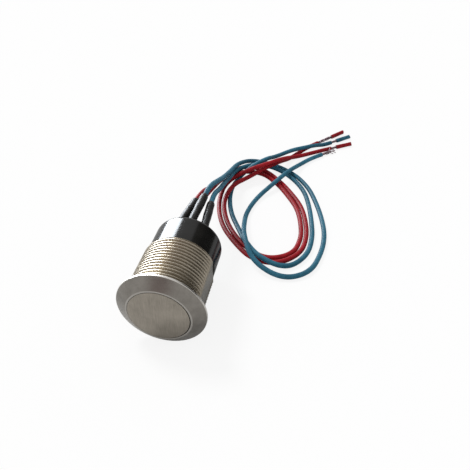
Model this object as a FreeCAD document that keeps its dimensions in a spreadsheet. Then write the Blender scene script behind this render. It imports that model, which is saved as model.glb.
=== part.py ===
import FreeCAD, Part
import math
import os

import Sketcher
from FreeCAD import Placement, Rotation, Vector

# Momentary push button for a 19 mm panel hole, in millimetres.
# The origin is the middle of the flange's rear face, which is the face that seats on the panel.
# The button faces -Y, the threaded barrel, the base and the leads run along +Y, and +Z is up.

SIZES = {
    # flange and bevelled front of the housing
    "flange_radius": 11.0,
    "flange_edge": 0.5,
    "flange_height": 2.55,
    "land_width": 0.4,
    # barrel behind the flange
    "barrel_radius": 9.5,
    "barrel_length": 15.0,
    "barrel_wall": 1.5,
    "barrel_end_chamfer": 0.4,
    "key_flat_depth": 0.8,
    "thread_pitch": 1.0,
    "thread_depth": 0.55,
    "thread_crest": 0.25,
    "thread_start": 0.35,
    "shoulder_depth": 2.0,
    "shoulder_width": 0.4,
    # cap
    "cap_gap": 0.1,
    "cap_proud": 0.05,
    "cap_edge": 0.15,
    "collar_length": 1.2,
    "travel": 2.0,
    # sealing ring on the cap
    "ring_section_radius": 0.45,
    "ring_gap": 0.02,
    "ring_setback": 1.8,
    "groove_play": 0.2,
    # plunger behind the cap
    "stem_radius": 2.4,
    "stem_insert": 2.0,
    "carrier_length": 4.0,
    "carrier_gap": 0.25,
    # guide plate and return spring
    "guide_thickness": 1.5,
    "guide_gap": 0.1,
    "bore_fit_gap": 0.05,
    "spring_radius": 4.4,
    "spring_wire_radius": 0.3,
    "spring_turns": 4.0,
    # base
    "base_step": 0.5,
    "base_length": 9.0,
    "base_floor": 3.0,
    "base_edge_radius": 1.2,
    "spigot_length": 4.0,
    "spigot_wall": 1.1,
    # terminals and their contacts
    "pin_inset": 1.65,
    "pin_step": 45.0,
    "contact_radius": 1.0,
    "contact_height": 0.6,
    "contact_clearance": 0.05,
    "shank_radius": 0.6,
    "tab_width": 1.0,
    "tab_thickness": 0.5,
    "tab_length": 5.0,
    # bridging contacts
    "bridge_thickness": 0.4,
    "bridge_width": 1.6,
    "bridge_overhang": 0.8,
    "post_radius": 0.45,
    "post_insert": 2.4,
    "post_gap": 0.1,
    "leaf_height": 0.95,
    "leaf_thickness": 0.15,
    "leaf_width": 1.4,
    "leaf_span": 4.4,
    # shrink sleeves and leads
    "sleeve_radius": 1.2,
    "sleeve_gap": 0.5,
    "solder_radius": 0.6,
    "solder_gap": 0.02,
    "lead_radius": 0.75,
    "strands_radius": 0.45,
    "bare_length_1": 5.5,
    "bare_length_2": 8.0,
    "bare_length_3": 6.5,
    "bare_length_4": 10.0,
    "slug_length": 7.0,
    "strands_recess": 0.5,
}

# A coil's path has this many corners in each turn.
STEPS_PER_TURN = 9

# An arc of a rounded path takes this share of the shorter run beside its corner.
ARC_SHARE = 0.45

# Each lead's route. The first point is the mouth of its sleeve. The leads leave level, come down to
# the surface that the flange's rim rests on, and turn once round a loose loop on it. Where they
# cross, the later stretch passes over the earlier one in a low hump. They end side by side.
LEAD_ROUTES = {
    1: [
        (0.7, 38.5, 5.4),
        (0.93, 43.3, 5.47),
        (1.5, 50.8, 2.5),
        (1.6, 58.9, -1.3),
        (2.1, 67.0, -3.9),
        (3.2, 75.4, -5.7),
        (7.1, 83.4, -8.8),
        (15.5, 83.7, -10.2),
        (23.2, 78.5, -10.1),
        (28.4, 71.7, -10.2),
        (31.6, 63.6, -10.2),
        (34.1, 55.3, -10.2),
        (35.7, 46.8, -10.2),
        (35.2, 38.2, -10.2),
        (32.6, 29.2, -10.1),
        (25.1, 25.4, -10.2),
        (16.3, 29.0, -8.3),
        (12.5, 36.6, -6.0),
        (10.9, 44.8, -8.8),
        (10.1, 53.3, -10.2),
        (12.0, 61.9, -10.2),
        (16.3, 69.3, -8.9),
        (20.7, 76.6, -7.6),
        (23.6, 84.8, -9.9),
        (27.7, 91.7, -10.2),
        (31.1, 95.1, -10.2),
    ],
    2: [
        (2.8, 37.2, 3.9),
        (2.5, 41.7, 3.98),
        (2.6, 48.7, 1.0),
        (2.2, 56.7, -2.1),
        (2.2, 64.2, -5.0),
        (2.9, 72.4, -6.6),
        (8.3, 79.0, -7.5),
        (16.1, 81.2, -9.7),
        (22.8, 76.0, -10.2),
        (27.3, 69.0, -10.1),
        (29.6, 61.1, -10.2),
        (31.1, 53.0, -10.2),
        (32.1, 44.9, -10.2),
        (31.3, 36.5, -10.2),
        (26.1, 29.6, -10.1),
        (17.9, 30.6, -8.0),
        (12.5, 37.3, -8.2),
        (9.2, 44.7, -10.0),
        (5.4, 51.9, -10.2),
        (3.2, 59.7, -9.9),
        (2.6, 68.4, -10.2),
        (6.8, 74.8, -7.1),
        (12.4, 80.4, -5.7),
        (14.7, 88.0, -10.0),
        (20.3, 94.0, -10.0),
        (26.7, 98.0, -8.1),
        (30.1, 101.0, -8.8),
    ],
    3: [
        (-1.6, 37.4, 4.2),
        (-0.93, 41.7, 4.37),
        (-0.4, 48.4, 1.1),
        (-0.3, 56.1, -2.0),
        (-0.2, 63.4, -5.0),
        (0.7, 70.9, -7.2),
        (5.1, 78.7, -8.6),
        (12.2, 79.5, -10.1),
        (19.0, 73.7, -10.2),
        (23.8, 67.6, -10.2),
        (27.1, 60.3, -10.2),
        (29.5, 52.7, -10.2),
        (30.5, 44.7, -10.2),
        (29.5, 36.8, -10.2),
        (23.0, 31.0, -10.2),
        (15.2, 32.1, -10.2),
        (9.3, 38.1, -10.2),
        (4.5, 44.4, -10.2),
        (1.4, 51.7, -10.1),
        (-0.2, 59.9, -10.2),
        (0.4, 67.6, -9.0),
        (6.6, 72.0, -6.3),
        (13.3, 77.0, -5.7),
        (18.1, 82.9, -6.5),
        (22.1, 89.6, -9.5),
        (27.1, 95.1, -10.2),
        (30.8, 97.5, -10.2),
    ],
    4: [
        (-2.3, 37.8, 0.9),
        (-1.44, 41.88, 1.17),
        (-1.7, 48.6, -1.7),
        (-1.6, 56.2, -4.2),
        (-1.1, 63.4, -6.2),
        (-0.6, 70.8, -9.1),
        (3.8, 77.4, -10.2),
        (11.8, 77.4, -10.1),
        (17.7, 71.8, -10.2),
        (22.0, 65.6, -10.2),
        (25.9, 58.9, -10.2),
        (27.9, 51.5, -10.2),
        (28.8, 43.7, -10.2),
        (27.0, 36.0, -10.2),
        (19.6, 32.5, -10.2),
        (12.8, 36.7, -10.2),
        (7.7, 42.7, -10.2),
        (4.0, 49.4, -10.2),
        (2.1, 56.9, -9.2),
        (3.3, 64.3, -7.6),
        (7.0, 71.1, -8.8),
        (12.4, 76.7, -7.4),
        (16.8, 82.6, -7.8),
        (20.1, 89.6, -10.2),
        (24.8, 95.0, -10.1),
        (27.2, 98.5, -10.2),
    ],
}

# The terminal of each lead, as its place along the arc of pins, counted from the first at one step.
PIN_PLACES = {1: 2, 2: 1, 3: 3, 4: 4}
# Each pair of neighbouring pins is closed by one bridging contact.
BRIDGED_PINS = {1: (1, 2), 2: (3, 4)}
# These leads keep a slug of cut insulation on their bare strands.
LEADS_WITH_SLUG = (2, 3, 4)

doc = FreeCAD.newDocument("PushButton")
sheet = doc.addObject("Spreadsheet::Sheet", "dims")
parts = []

AXIS = Vector(0, 1, 0)
BARREL_BORE = "(dims.barrel_radius - dims.barrel_wall)"
THREAD_ROOT = "(dims.barrel_radius - dims.thread_depth)"
CAP_BORE = f"({BARREL_BORE} - dims.shoulder_width)"
CAP_RADIUS = f"({CAP_BORE} - dims.cap_gap)"
CAP_FRONT = "(-dims.flange_height - dims.cap_proud)"
CAP_BACK = "(dims.shoulder_depth + dims.collar_length)"
BASE_REAR = "(dims.barrel_length + dims.base_length)"
FLOOR = f"({BASE_REAR} - dims.base_floor)"
SPIGOT_FRONT = "(dims.barrel_length - dims.spigot_length)"
BASE_RADIUS = "(dims.barrel_radius - dims.base_step)"
SPIGOT_RADIUS = f"({BARREL_BORE} - dims.bore_fit_gap)"
CHAMBER_RADIUS = f"({SPIGOT_RADIUS} - dims.spigot_wall)"
PIN_CIRCLE = f"({CHAMBER_RADIUS} - dims.pin_inset)"
BRIDGE_REAR = f"({FLOOR} - dims.contact_height - dims.travel - dims.contact_clearance)"
BRIDGE_FRONT = f"({BRIDGE_REAR} - dims.bridge_thickness)"
CARRIER_REAR = f"({BRIDGE_FRONT} - dims.leaf_height)"


def fill_sheet():
    """One row for each driving size: its name, its value and its alias."""
    for row, (name, value) in enumerate(SIZES.items(), start=1):
        sheet.set(f"A{row}", name)
        sheet.set(f"B{row}", str(value))
        sheet.setAlias(f"B{row}", name)
    doc.recompute()


def value(expression):
    """The number that an expression over the sheet gives."""
    return float(sheet.evalExpression(expression.replace("dims.", "")))


def keep(shape_object, label):
    """Name a finished sub-part and put it on the list that is written out."""
    shape_object.Label = label
    parts.append(shape_object)
    return shape_object


def turned(name, corners):
    """A body turned about the button's axis from corners given as (radius, place along Y)."""
    body = doc.addObject("PartDesign::Body", name)
    plane = [item for item in body.Origin.OriginFeatures if item.Role == "XY_Plane"][0]
    sketch = body.newObject("Sketcher::SketchObject", name + "_profile")
    sketch.AttachmentSupport = [(plane, "")]
    sketch.MapMode = "FlatFace"
    places = [Vector(value(radius), value(along), 0) for radius, along in corners]
    for start, end in zip(places, places[1:] + places[:1]):
        sketch.addGeometry(Part.LineSegment(start, end), False)
    for side in range(len(corners)):
        following = (side + 1) % len(corners)
        sketch.addConstraint(Sketcher.Constraint("Coincident", side, 2, following, 1))
    for side, (radius, along) in enumerate(corners):
        for direction, size in (("DistanceX", radius), ("DistanceY", along)):
            number = sketch.addConstraint(
                Sketcher.Constraint(direction, -1, 1, side, 1, value(size))
            )
            if "dims." in size:
                sketch.setExpression(f"Constraints[{number}]", size)
    revolution = body.newObject("PartDesign::Revolution", name + "_turned")
    revolution.Profile = sketch
    revolution.ReferenceAxis = (sketch, ["V_Axis"])
    revolution.Angle = 360
    return body


def rod(name, radius, length, start, direction=AXIS):
    """A round bar from a start point along a direction, its sizes bound to the sheet."""
    bar = doc.addObject("Part::Cylinder", name)
    bar.setExpression("Radius", radius)
    bar.setExpression("Height", length)
    bar.Placement = Placement(start, Rotation(Vector(0, 0, 1), direction))
    return bar


def block(name, sizes, corner):
    """A box with its sizes along X, Y and Z bound to the sheet, from its lowest corner."""
    box = doc.addObject("Part::Box", name)
    for side, size in zip(("Length", "Width", "Height"), sizes):
        box.setExpression(side, size)
    box.Placement.Base = Vector(*(value(place) for place in corner))
    return box


def cut(name, base, tool):
    result = doc.addObject("Part::Cut", name)
    result.Base = base
    result.Tool = tool
    return result


def fuse(name, shapes):
    result = doc.addObject("Part::MultiFuse", name)
    result.Shapes = shapes
    return result


def turn_to(angle):
    """The turn about the button's axis that takes +X to this angle towards +Z."""
    return Placement(Vector(0, 0, 0), Rotation(AXIS, -angle))


def pin_angle(place):
    return place * value("dims.pin_step")


def pin_point(place, along):
    """A point on the axis of one terminal, at a distance along Y."""
    angle = math.radians(pin_angle(place))
    radius = value(PIN_CIRCLE)
    return Vector(radius * math.cos(angle), value(along), radius * math.sin(angle))


def route(lead):
    """The points of a lead's route, from the mouth of its sleeve to the end of its insulation."""
    return [Vector(*point) for point in LEAD_ROUTES[lead]]


def thread_corners():
    """Corners of the barrel's fine thread, turned as ring grooves at its pitch."""
    run = "dims.barrel_length - dims.barrel_end_chamfer - dims.thread_start"
    groove_width = "(dims.thread_pitch - dims.thread_crest)"
    corners = []
    for turn in range(int(value(f"({run}) / dims.thread_pitch"))):
        start = f"dims.thread_start + {turn} * dims.thread_pitch"
        corners.append(("dims.barrel_radius", start))
        corners.append((THREAD_ROOT, f"{start} + {groove_width} / 2"))
        corners.append(("dims.barrel_radius", f"{start} + {groove_width}"))
    return corners


def make_housing():
    """Turned steel housing: bevelled flange, cap bore with a shoulder, threaded barrel with a flat."""
    bezel = turned(
        "housing_turned",
        [
            (CAP_BORE, "-dims.flange_height"),
            (f"{CAP_BORE} + dims.land_width", "-dims.flange_height"),
            ("dims.flange_radius", "-dims.flange_edge"),
            ("dims.flange_radius", "0"),
            ("dims.barrel_radius", "0"),
            *thread_corners(),
            ("dims.barrel_radius", "dims.barrel_length - dims.barrel_end_chamfer"),
            ("dims.barrel_radius - dims.barrel_end_chamfer", "dims.barrel_length"),
            (BARREL_BORE, "dims.barrel_length"),
            (BARREL_BORE, "dims.shoulder_depth"),
            (CAP_BORE, "dims.shoulder_depth"),
        ],
    )
    flat = block(
        "key_flat",
        ("dims.flange_radius", "dims.barrel_length", "2 * dims.barrel_radius"),
        ("dims.barrel_radius - dims.key_flat_depth", "0", "-dims.barrel_radius"),
    )
    keep(cut("housing_cut", bezel, flat), "housing")


def make_cap():
    """Steel cap with a seal groove, a collar behind the housing's shoulder and a blind hole."""
    groove_front = f"({CAP_FRONT} + dims.ring_setback - dims.ring_section_radius - dims.groove_play / 2)"
    groove_rear = f"({CAP_FRONT} + dims.ring_setback + dims.ring_section_radius + dims.groove_play / 2)"
    groove_radius = f"({CAP_BORE} - dims.ring_gap - 2 * dims.ring_section_radius)"
    collar_radius = f"{BARREL_BORE} - dims.cap_gap"
    cap = turned(
        "cap_turned",
        [
            ("0", CAP_FRONT),
            (f"{CAP_RADIUS} - dims.cap_edge", CAP_FRONT),
            (CAP_RADIUS, f"{CAP_FRONT} + dims.cap_edge"),
            (CAP_RADIUS, groove_front),
            (groove_radius, groove_front),
            (groove_radius, groove_rear),
            (CAP_RADIUS, groove_rear),
            (CAP_RADIUS, "dims.shoulder_depth"),
            (collar_radius, "dims.shoulder_depth"),
            (collar_radius, CAP_BACK),
            ("dims.stem_radius", CAP_BACK),
            ("dims.stem_radius", f"{CAP_BACK} - dims.stem_insert"),
            ("0", f"{CAP_BACK} - dims.stem_insert"),
        ],
    )
    keep(cap, "button_cap")


def make_cap_ring():
    """Rubber ring that seals the cap in its bore."""
    ring = doc.addObject("Part::Torus", "cap_ring_torus")
    ring.setExpression("Radius1", f"{CAP_BORE} - dims.ring_gap - dims.ring_section_radius")
    ring.setExpression("Radius2", "dims.ring_section_radius")
    middle = Vector(0, value(f"{CAP_FRONT} + dims.ring_setback"), 0)
    ring.Placement = Placement(middle, Rotation(Vector(0, 0, 1), AXIS))
    keep(ring, "cap_ring")


def bridge_middle(bridge):
    """Angle and radius of the middle of a bridging contact."""
    first, second = BRIDGED_PINS[bridge]
    angle = (pin_angle(first) + pin_angle(second)) / 2
    half_step = math.radians((pin_angle(second) - pin_angle(first)) / 2)
    return angle, value(PIN_CIRCLE) * math.cos(half_step)


def make_plunger():
    """Moulded plunger: a stem pressed into the cap and a disc that carries the bridging contacts."""
    carrier_radius = f"{CHAMBER_RADIUS} - dims.carrier_gap"
    carrier_front = f"{CARRIER_REAR} - dims.carrier_length"
    shape = turned(
        "plunger_turned",
        [
            ("0", f"{CAP_BACK} - dims.stem_insert"),
            ("dims.stem_radius", f"{CAP_BACK} - dims.stem_insert"),
            ("dims.stem_radius", carrier_front),
            (carrier_radius, carrier_front),
            (carrier_radius, CARRIER_REAR),
            ("0", CARRIER_REAR),
        ],
    )
    for bridge in BRIDGED_PINS:
        angle, radius = bridge_middle(bridge)
        depth = "(dims.post_insert + dims.post_gap)"
        start = Vector(radius, value(f"{CARRIER_REAR} - {depth}"), 0)
        hole = rod(f"post_hole_{bridge}", "dims.post_radius + dims.post_gap", depth, start)
        hole.Placement = turn_to(angle) * hole.Placement
        shape = cut(f"plunger_bored_{bridge}", shape, hole)
    keep(shape, "plunger")


def make_bridge(bridge):
    """Bridging contact: a flat strip with a post that slides in the plunger's disc."""
    angle, radius = bridge_middle(bridge)
    first, second = BRIDGED_PINS[bridge]
    chord = f"2 * {PIN_CIRCLE} * sin(dims.pin_step / 2 * 1deg)"
    length = f"{chord} + 2 * dims.bridge_overhang"
    strip = block(
        f"bridge_strip_{bridge}",
        ("dims.bridge_width", "dims.bridge_thickness", length),
        (f"{radius} - dims.bridge_width / 2", BRIDGE_FRONT, f"-({length}) / 2"),
    )
    post_length = "dims.post_insert + dims.leaf_height"
    start = Vector(radius, value(f"{CARRIER_REAR} - dims.post_insert"), 0)
    post = rod(f"bridge_post_{bridge}", "dims.post_radius", post_length, start)
    contact = fuse(f"bridge_fused_{bridge}", [strip, post])
    contact.Placement = turn_to(angle)
    keep(contact, f"contact_bridge_{bridge}")


def make_leaf(bridge):
    """Bowed leaf spring between the plunger's disc and a bridging contact, with a hole for the post."""
    angle, radius = bridge_middle(bridge)
    half_span = value("dims.leaf_span / 2")
    crown = value(CARRIER_REAR)
    foot = value(BRIDGE_FRONT)
    thickness = value("dims.leaf_thickness")
    outer = Part.Arc(
        Vector(0, foot, -half_span), Vector(0, crown, 0), Vector(0, foot, half_span)
    )
    inner = Part.Arc(
        Vector(0, foot, half_span - thickness),
        Vector(0, crown + thickness, 0),
        Vector(0, foot, -half_span + thickness),
    )
    ends = [
        Part.LineSegment(outer.EndPoint, inner.StartPoint),
        Part.LineSegment(inner.EndPoint, outer.StartPoint),
    ]
    edges = [outer.toShape(), ends[0].toShape(), inner.toShape(), ends[1].toShape()]
    width = value("dims.leaf_width")
    bow = Part.Face(Part.Wire(edges)).extrude(Vector(width, 0, 0))
    bow.translate(Vector(-width / 2, 0, 0))
    hole = Part.makeCylinder(
        value("dims.post_radius + dims.post_gap"), foot - crown, Vector(0, crown, 0), AXIS
    )
    leaf = doc.addObject("Part::Feature", f"leaf_{bridge}")
    leaf.Shape = bow.cut(hole)
    leaf.Placement = turn_to(angle) * Placement(Vector(radius, 0, 0), Rotation())
    keep(leaf, f"contact_leaf_{bridge}")


def make_guide_plate():
    """Moulded plate on the base's spigot that guides the stem and carries the return spring."""
    rear = SPIGOT_FRONT
    front = f"{SPIGOT_FRONT} - dims.guide_thickness"
    bore = "dims.stem_radius + dims.guide_gap"
    plate = turned(
        "guide_plate_turned",
        [(bore, front), (SPIGOT_RADIUS, front), (SPIGOT_RADIUS, rear), (bore, rear)],
    )
    keep(plate, "guide_plate")


def make_return_spring():
    """Steel coil spring between the back of the cap and the guide plate."""
    wire_radius = value("dims.spring_wire_radius")
    coil_radius = value("dims.spring_radius")
    turns = value("dims.spring_turns")
    first = value(CAP_BACK) + wire_radius
    height = value(f"{SPIGOT_FRONT} - dims.guide_thickness") - wire_radius - first
    points = []
    for step in range(int(turns * STEPS_PER_TURN) + 1):
        angle = 2 * math.pi * step / STEPS_PER_TURN
        along = first + height * step / (turns * STEPS_PER_TURN)
        points.append(Vector(coil_radius * math.cos(angle), along, coil_radius * math.sin(angle)))
    edges, radii = rounded_path(points)
    section = Part.Wire(Part.makeCircle(wire_radius, points[0], points[1] - points[0]))
    spring = doc.addObject("Part::Feature", "spring_coil")
    spring.Shape = Part.Wire(edges).makePipeShell([section], True, True)
    keep(spring, "return_spring")


def make_base():
    """Moulded base: a spigot in the barrel, a chamber for the contacts and a floor with the pins."""
    body = turned(
        "base_turned",
        [
            (CHAMBER_RADIUS, SPIGOT_FRONT),
            (SPIGOT_RADIUS, SPIGOT_FRONT),
            (SPIGOT_RADIUS, "dims.barrel_length"),
            (BASE_RADIUS, "dims.barrel_length"),
            (BASE_RADIUS, BASE_REAR),
            ("0", BASE_REAR),
            ("0", FLOOR),
            (CHAMBER_RADIUS, FLOOR),
        ],
    )
    doc.recompute()
    rounded = doc.addObject("Part::Fillet", "base_rounded")
    rounded.Base = body
    rear = value(BASE_REAR)
    edge_radius = value("dims.base_edge_radius")
    rim = [
        number
        for number, edge in enumerate(body.Shape.Edges, start=1)
        if abs(edge.BoundBox.YMin - rear) < 1e-6 and abs(edge.BoundBox.YMax - rear) < 1e-6
        and len(edge.Vertexes) == 1
    ]
    rounded.Edges = [(number, edge_radius, edge_radius) for number in rim]
    holes = [
        rod(f"pin_hole_{lead}", "dims.shank_radius", "dims.base_floor", pin_point(place, FLOOR))
        for lead, place in PIN_PLACES.items()
    ]
    keep(cut("base_bored", rounded, fuse("pin_holes", holes)), "base")


def sleeve_axis(lead):
    """Where a terminal leaves the base, the direction to its sleeve's mouth, and the distance."""
    root = pin_point(PIN_PLACES[lead], BASE_REAR)
    way = route(lead)[0] - root
    length = way.Length
    return root, way.normalize(), length


def make_terminal(lead):
    """Terminal: contact head on the chamber floor, shank, solder tab and the soldered lead's end."""
    place = PIN_PLACES[lead]
    root, direction, length = sleeve_axis(lead)
    head_start = pin_point(place, f"{FLOOR} - dims.contact_height")
    head = rod(f"contact_head_{lead}", "dims.contact_radius", "dims.contact_height", head_start)
    shank = rod(f"shank_{lead}", "dims.shank_radius", "dims.base_floor", pin_point(place, FLOOR))
    tab = doc.addObject("Part::Box", f"tab_{lead}")
    tab.setExpression("Length", "dims.tab_width")
    tab.setExpression("Width", "dims.tab_thickness")
    tab.setExpression("Height", "dims.tab_length")
    lean = Rotation(Vector(0, 0, 1), direction)
    corner = Vector(-value("dims.tab_width / 2"), -value("dims.tab_thickness / 2"), 0)
    tab.Placement = Placement(root, lean) * Placement(corner, Rotation())
    half_tab = value("dims.tab_length / 2")
    solder = rod(
        f"solder_{lead}",
        "dims.solder_radius",
        f"{length} - dims.tab_length / 2 - dims.solder_gap",
        root + direction * half_tab,
        direction,
    )
    keep(fuse(f"terminal_fused_{lead}", [head, shank, tab, solder]), f"terminal_{lead}")


def make_sleeve(lead):
    """Shrink sleeve from just behind the base to the mouth where the lead comes out."""
    root, direction, length = sleeve_axis(lead)
    start = root + direction * value("dims.sleeve_gap")
    sleeve_length = f"{length} - dims.sleeve_gap"
    outside = rod(f"sleeve_outside_{lead}", "dims.sleeve_radius", sleeve_length, start, direction)
    bore = "dims.solder_radius + dims.solder_gap"
    inside = rod(f"sleeve_inside_{lead}", bore, sleeve_length, start, direction)
    keep(cut(f"sleeve_cut_{lead}", outside, inside), f"sleeve_{lead}")


def rounded_path(points):
    """Straight runs joined by tangent arcs, as edges, with the arcs' radii."""
    edges = []
    radii = []
    start = points[0]
    for before, corner, after in zip(points, points[1:], points[2:]):
        back = before - corner
        on = after - corner
        reach = ARC_SHARE * min(back.Length, on.Length)
        back.normalize()
        on.normalize()
        half_turn = (math.pi - back.getAngle(on)) / 2
        radius = reach / math.tan(half_turn)
        inward = (back + on).normalize()
        arc_start = corner + back * reach
        arc_end = corner + on * reach
        arc_middle = corner + inward * (radius / math.cos(half_turn) - radius)
        edges.append(Part.LineSegment(start, arc_start).toShape())
        edges.append(Part.Arc(arc_start, arc_middle, arc_end).toShape())
        radii.append(radius)
        start = arc_end
    edges.append(Part.LineSegment(start, points[-1]).toShape())
    return edges, radii


def make_lead(lead):
    """Insulated lead: a plain round tube along its route, checked against section times length."""
    points = route(lead)
    edges, radii = rounded_path(points)
    path = Part.Wire(edges)
    lead_radius = value("dims.lead_radius")
    section = Part.Wire(Part.makeCircle(lead_radius, points[0], points[1] - points[0]))
    tube = doc.addObject("Part::Feature", f"lead_tube_{lead}")
    tube.Shape = path.makePipeShell([section], True, True)
    expected = math.pi * lead_radius**2 * path.Length
    if abs(tube.Shape.Volume - expected) > 0.01 * expected:
        raise RuntimeError(f"lead {lead} has the volume {tube.Shape.Volume}, not {expected}")
    shown = ", ".join(f"{radius:.1f}" for radius in radii)
    print(f"lead {lead}: length {path.Length:.1f}, bend radii {shown}")
    keep(tube, f"lead_{lead}")


def lead_end(lead):
    """The end of a lead and the direction in which its strands leave it."""
    points = route(lead)
    return points[-1], (points[-1] - points[-2]).normalize()


def make_strands(lead):
    """Bare strands beyond the end of the insulation, on into the slug where one is left."""
    end, direction = lead_end(lead)
    length = f"dims.bare_length_{lead}"
    if lead in LEADS_WITH_SLUG:
        length += " + dims.slug_length - dims.strands_recess"
    keep(rod(f"strands_{lead}", "dims.strands_radius", length, end, direction), f"strands_{lead}")


def make_slug(lead):
    """Slug of cut insulation left on the strands near their tip."""
    end, direction = lead_end(lead)
    start = end + direction * value(f"dims.bare_length_{lead}")
    outside = rod(f"slug_outside_{lead}", "dims.lead_radius", "dims.slug_length", start, direction)
    inside = rod(f"slug_inside_{lead}", "dims.strands_radius", "dims.slug_length", start, direction)
    keep(cut(f"slug_cut_{lead}", outside, inside), f"slug_{lead}")


def check_and_write():
    """Stop at any failed object or shape, then write each sub-part to its own file."""
    doc.recompute()
    for item in doc.Objects:
        if "Invalid" in item.State or "Error" in item.State:
            raise RuntimeError(f"{item.Name} failed: {item.State}")
    os.makedirs("parts", exist_ok=True)
    for part in parts:
        if part.Shape.isNull() or not part.Shape.isValid() or not part.Shape.Solids:
            raise RuntimeError(f"{part.Label} has no valid solid")
        part.Shape.exportStep(f"parts/{part.Label}.step")
    print(f"{len(parts)} parts written")


fill_sheet()
make_housing()
make_cap()
make_cap_ring()
make_plunger()
make_guide_plate()
make_return_spring()
make_base()
for pair in BRIDGED_PINS:
    make_bridge(pair)
    make_leaf(pair)
for number in LEAD_ROUTES:
    make_terminal(number)
    make_sleeve(number)
    make_lead(number)
    make_strands(number)
for number in LEADS_WITH_SLUG:
    make_slug(number)
check_and_write()
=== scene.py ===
import bmesh
import bpy
import math
import random
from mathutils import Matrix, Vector


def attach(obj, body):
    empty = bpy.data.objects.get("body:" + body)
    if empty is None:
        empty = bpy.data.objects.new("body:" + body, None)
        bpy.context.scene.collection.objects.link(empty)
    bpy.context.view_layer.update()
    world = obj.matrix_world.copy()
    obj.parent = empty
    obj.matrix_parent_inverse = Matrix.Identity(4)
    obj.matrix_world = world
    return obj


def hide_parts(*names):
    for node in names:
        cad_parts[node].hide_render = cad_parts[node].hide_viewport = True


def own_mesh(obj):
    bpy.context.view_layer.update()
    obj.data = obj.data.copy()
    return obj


# Flush steel push button lying on its flange rim and its leads, with the front towards -Y.
# Sizes are in metres, in the same frame as the solids.

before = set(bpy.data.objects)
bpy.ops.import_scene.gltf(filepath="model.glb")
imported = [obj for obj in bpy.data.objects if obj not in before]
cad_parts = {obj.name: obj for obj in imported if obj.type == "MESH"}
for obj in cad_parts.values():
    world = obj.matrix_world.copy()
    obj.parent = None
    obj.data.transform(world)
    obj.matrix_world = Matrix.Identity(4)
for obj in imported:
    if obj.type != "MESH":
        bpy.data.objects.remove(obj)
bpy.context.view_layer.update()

BODY = "switch_body"
FLOOR = -0.011

# Camera, with its angles in degrees
CAMERA_PLACE = (0.03235, -0.07341, 0.08719)
CAMERA_TILT = 50.2976
CAMERA_TURN = 11.57
CAMERA_LENS = 38.298

# Housing
FLANGE_RADIUS = 0.011
FLANGE_FACE = -0.00255
BEVEL_END = -0.0005
LAND_OUTER = 0.008
CAP_BORE = 0.0076
SHOULDER = 0.002
BARREL_BORE = 0.008
BARREL_END = 0.015
BARREL_CHAMFER = 0.0005
FLAT_AT = 0.0087
HOUSING_COLUMNS = 288

# Thread, with half its root and one flank as shares of half a pitch
THREAD_CREST = 0.0095
THREAD_DEPTH = 0.00058
THREAD_PITCH = 0.001
THREAD_START = 0.0002
THREAD_RUN_IN = 0.0004
THREAD_END = BARREL_END - 0.00005
HALF_ROOT = 0.16
FLANK = 0.70
STEPS_PER_PITCH = 12

# Cap, which sits a little to one side of its bore
CAP_RADIUS = 0.0075
CAP_FRONT = -0.0026
CAP_BACK = 0.0032
CAP_COLLAR = 0.0079
GROOVE_FRONT = CAP_FRONT + 0.00125
GROOVE_BACK = CAP_FRONT + 0.00235
GROOVE_FLOOR = 0.00668
STEM_RADIUS = 0.0024
STEM_HOLE_END = 0.0012
CAP_PLAY = (-0.00008, 0.0, -0.00002)
CAP_COLUMNS = 160

# Return spring
SPRING_RADIUS = 0.0044
SPRING_WIRE_RADIUS = 0.0003
SPRING_ROOM = 0.00002
SPRING_SEAT = 0.0095
SPRING_TURNS = 4
SPRING_END_CLOSING = 0.32
SPRING_STEPS_PER_TURN = 48
SPRING_SIDES = 14

# Base, with its terminals at angles in degrees round a circle
BASE_RADIUS = 0.009
BASE_REAR = 0.024
PIN_CIRCLE = 0.0052
PIN_ANGLES = {"1": 90, "2": 45, "3": 135, "4": 180}

# Resin on the base, which climbs at its rim and up each terminal
RESIN_RADIUS = BASE_RADIUS - 0.00145
RESIN_DEPTH = 0.0001
RESIN_HEIGHT = 0.00012
RIM_AT = BASE_RADIUS - 0.0015
RIM_RISE = 0.00005
RIM_WIDTH = 0.0004
MENISCUS = 0.00045
MENISCUS_AT = 0.0007
RESIN_RINGS = 46
RESIN_COLUMNS = 120

# Shrink sleeves
SLEEVE_RADIUS = 0.0012
SLEEVE_GAP = 0.0005
SLEEVE_STEPS = 44
SLEEVE_COLUMNS = 32

# Leads and the slugs of insulation left on them
LEAD_RADIUS = 0.00075
LEAD_FINISHES = {"1": "blue", "2": "blue", "3": "red", "4": "red"}
SLUG_LENGTH = 0.007
SLUG_BORE = 0.00048
SLUG_GAP = 0.0002
SLUG_COLUMNS = 28
SLUGGED = ("2", "3", "4")

# Bare strands, which are splayed at the end of one lead and loose midway on another
BARE_LENGTHS = {"1": 0.0055, "2": 0.0026, "3": 0.0024, "4": 0.0076}
STRAND_SPLAY = {"1": 0.0009, "2": 0.0, "3": 0.0, "4": 0.0}
STRAND_LOOSENESS = {"1": 0.0, "2": 0.0, "3": 0.0, "4": 0.0003}
STRANDS = 7
STRAND_RADIUS = 0.000145
STRAND_REACH = 0.00029
STRAND_LAY = 0.0055
STRAND_TUCK = 0.0004
STRAND_INSET = 0.0005
STRAND_STEPS = 30
STRAND_SIDES = 8

# Strength of the world's light on the object, where the camera and reflections see 1,
# and the share of plain white that the camera sees in the floor
SOFT_LIGHT = 0.6
FLOOR_WHITE = 0.86

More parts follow.
